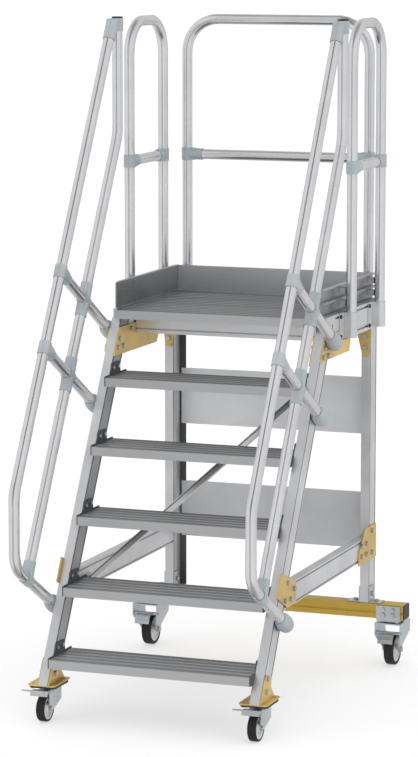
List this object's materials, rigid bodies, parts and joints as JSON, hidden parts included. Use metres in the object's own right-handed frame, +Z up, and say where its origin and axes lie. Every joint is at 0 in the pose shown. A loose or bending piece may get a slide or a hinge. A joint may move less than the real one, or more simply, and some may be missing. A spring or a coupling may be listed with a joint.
{
  "type": "rolling warehouse ladder",
  "caption": "Mobile aluminium stairs with ribbed treads, handrails and a guarded platform on braked swivel castors.",
  "frame": {"origin": "on the floor, under the middle of the whole ladder's footprint", "axes": "+X to the right of a person climbing, +Y in the climbing direction, +Z up"},
  "size_m": [1.15, 1.6022, 2.5392],
  "materials": {
    "profile_aluminium": "satin mill finish, drawn lines along the profile",
    "tube_aluminium": "bright satin tube",
    "tread_aluminium": "ribbed, dulled and grey from shoes",
    "dark_plate": "dark grey, matte",
    "toe_aluminium": "satin",
    "cast_aluminium": "blue-grey casting, slightly rough",
    "sleeve_aluminium": "satin",
    "yellow_zinc": "yellow passivated zinc with faint iridescence",
    "panel_sheet": "light grey, smooth",
    "mustard_paint": "mustard yellow, semi matte",
    "black_plastic": "matte",
    "black_steel": "blackened bolts",
    "tyre_rubber": "matte black with light dust",
    "rim_plastic": "light grey",
    "bright_zinc": "bright zinc plate"
  },
  "bodies": {
    "frame": {"stringer_left": "profile_aluminium", "stringer_right": "profile_aluminium", "tread_1": "tread_aluminium", "tread_2": "tread_aluminium", "tread_3": "tread_aluminium", "tread_4": "tread_aluminium", "tread_5": "tread_aluminium", "tread_end_plates": "dark_plate", "deck_planks": "tread_aluminium", "platform_side_beams": "profile_aluminium", "platform_cross_beams": "profile_aluminium", "rear_legs": "profile_aluminium", "toe_boards": "toe_aluminium", "toe_board_spacers": "toe_aluminium", "guardrail_left": "tube_aluminium", "guardrail_right": "tube_aluminium", "guardrail_rear": "tube_aluminium", "guardrail_mid_bars": "tube_aluminium", "guardrail_connectors": "cast_aluminium", "post_sleeves": "sleeve_aluminium", "sleeve_bolts": "black_steel", "handrails": "tube_aluminium", "knee_rails": "tube_aluminium", "handrail_struts": "tube_aluminium", "handrail_connectors": "cast_aluminium", "handrail_feet": "cast_aluminium", "end_caps": "black_plastic", "stringer_gussets": "yellow_zinc", "side_brace_gussets": "yellow_zinc", "leg_top_brackets": "yellow_zinc", "side_braces": "profile_aluminium", "diagonal_brace": "profile_aluminium", "rear_panels": "panel_sheet", "panel_rails": "dark_plate", "traverse": "mustard_paint", "traverse_brackets": "bright_zinc", "front_castor_brackets": "yellow_zinc", "castor_spacer_plates": "black_plastic", "castor_top_plates": "bright_zinc", "frame_bolts": "bright_zinc"},
    "front_left_swivel": {"front_left_fork": "bright_zinc", "front_left_axle_pins": "bright_zinc"},
    "front_left_wheel": {"front_left_rim": "rim_plastic", "front_left_tyre": "tyre_rubber"},
    "front_left_pedal": {"front_left_pedal": "bright_zinc"},
    "front_right_swivel": {"front_right_fork": "bright_zinc", "front_right_axle_pins": "bright_zinc"},
    "front_right_wheel": {"front_right_rim": "rim_plastic", "front_right_tyre": "tyre_rubber"},
    "front_right_pedal": {"front_right_pedal": "bright_zinc"},
    "rear_left_swivel": {"rear_left_fork": "bright_zinc", "rear_left_axle_pins": "bright_zinc"},
    "rear_left_wheel": {"rear_left_rim": "rim_plastic", "rear_left_tyre": "tyre_rubber"},
    "rear_left_pedal": {"rear_left_pedal": "bright_zinc"},
    "rear_right_swivel": {"rear_right_fork": "bright_zinc", "rear_right_axle_pins": "bright_zinc"},
    "rear_right_wheel": {"rear_right_rim": "rim_plastic", "rear_right_tyre": "tyre_rubber"},
    "rear_right_pedal": {"rear_right_pedal": "bright_zinc"}
  },
  "joints": [
    {"name": "front_left_swivel", "type": "hinge", "parent": "frame", "child": "front_left_swivel", "pos_m": [-0.42, -0.54491, 0.12], "axis": [0, 0, 1], "continuous": true},
    {"name": "front_left_wheel_spin", "type": "hinge", "parent": "front_left_swivel", "child": "front_left_wheel", "pos_m": [-0.42, -0.58291, 0.05], "axis": [1, 0, 0], "continuous": true},
    {"name": "front_left_pedal_press", "type": "hinge", "parent": "front_left_swivel", "child": "front_left_pedal", "pos_m": [-0.42, -0.58191, 0.113], "axis": [1, 0, 0], "range_deg": [0, 18]},
    {"name": "front_right_swivel", "type": "hinge", "parent": "frame", "child": "front_right_swivel", "pos_m": [0.398, -0.54491, 0.12], "axis": [0, 0, 1], "continuous": true},
    {"name": "front_right_wheel_spin", "type": "hinge", "parent": "front_right_swivel", "child": "front_right_wheel", "pos_m": [0.398, -0.58291, 0.05], "axis": [1, 0, 0], "continuous": true},
    {"name": "front_right_pedal_press", "type": "hinge", "parent": "front_right_swivel", "child": "front_right_pedal", "pos_m": [0.398, -0.58191, 0.113], "axis": [1, 0, 0], "range_deg": [0, 18]},
    {"name": "rear_left_swivel", "type": "hinge", "parent": "frame", "child": "rear_left_swivel", "pos_m": [-0.51, 0.68491, 0.12], "axis": [0, 0, 1], "continuous": true},
    {"name": "rear_left_wheel_spin", "type": "hinge", "parent": "rear_left_swivel", "child": "rear_left_wheel", "pos_m": [-0.51, 0.70991, 0.0625], "axis": [1, 0, 0], "continuous": true},
    {"name": "rear_left_pedal_press", "type": "hinge", "parent": "rear_left_swivel", "child": "rear_left_pedal", "pos_m": [-0.51, 0.65091, 0.138], "axis": [1, 0, 0], "range_deg": [0, 15]},
    {"name": "rear_right_swivel", "type": "hinge", "parent": "frame", "child": "rear_right_swivel", "pos_m": [0.51, 0.68491, 0.12], "axis": [0, 0, 1], "continuous": true},
    {"name": "rear_right_wheel_spin", "type": "hinge", "parent": "rear_right_swivel", "child": "rear_right_wheel", "pos_m": [0.51, 0.70991, 0.0625], "axis": [1, 0, 0], "continuous": true},
    {"name": "rear_right_pedal_press", "type": "hinge", "parent": "rear_right_swivel", "child": "rear_right_pedal", "pos_m": [0.51, 0.65091, 0.138], "axis": [1, 0, 0], "range_deg": [0, 15]}
  ]
}
